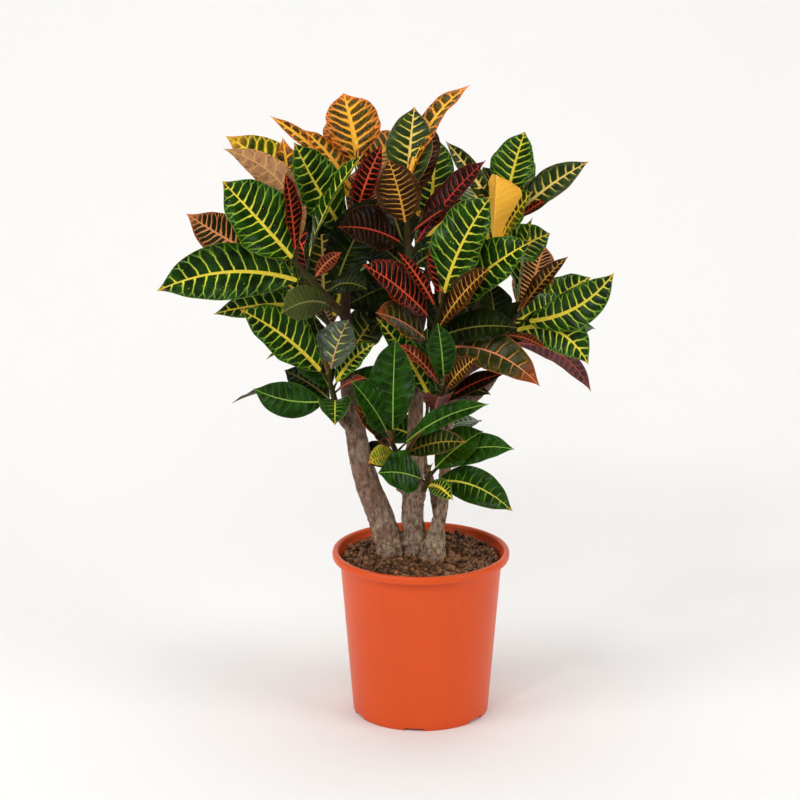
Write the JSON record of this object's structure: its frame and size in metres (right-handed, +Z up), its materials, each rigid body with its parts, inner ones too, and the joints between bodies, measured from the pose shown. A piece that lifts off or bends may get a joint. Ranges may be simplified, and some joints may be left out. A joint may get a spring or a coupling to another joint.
{
  "type": "potted croton",
  "caption": "Bushy croton with leathery, waved, colour-veined leaves on woody stems, growing in potting soil in a tapered round nursery pot with a thick lip.",
  "frame": {"origin": "middle of the pot's underside, on the surface it stands on", "axes": "+Z up the plant, +X to the right and +Y away from a viewer who faces its best side"},
  "size_m": [0.5238, 0.3606, 0.7462],
  "materials": {
    "pot_plastic": "satin",
    "potting_soil": "matte",
    "bark": "matte",
    "leaf": "satin"
  },
  "bodies": {
    "root": {"pot": "pot_plastic", "soil": "potting_soil", "wood": "bark", "upper_left_shoot": "leaf", "top_back_shoot": "leaf", "top_centre_shoot": "leaf", "centre_shoot": "leaf", "back_right_shoot": "leaf", "right_shoot": "leaf", "mid_right_shoot": "leaf", "front_low_shoot": "leaf", "right_low_shoot": "leaf", "left_low_shoot": "leaf", "back_shoot": "leaf", "back_left_shoot": "leaf", "back_right_low_shoot": "leaf", "back_low_shoot": "leaf"}
  },
  "joints": []
}
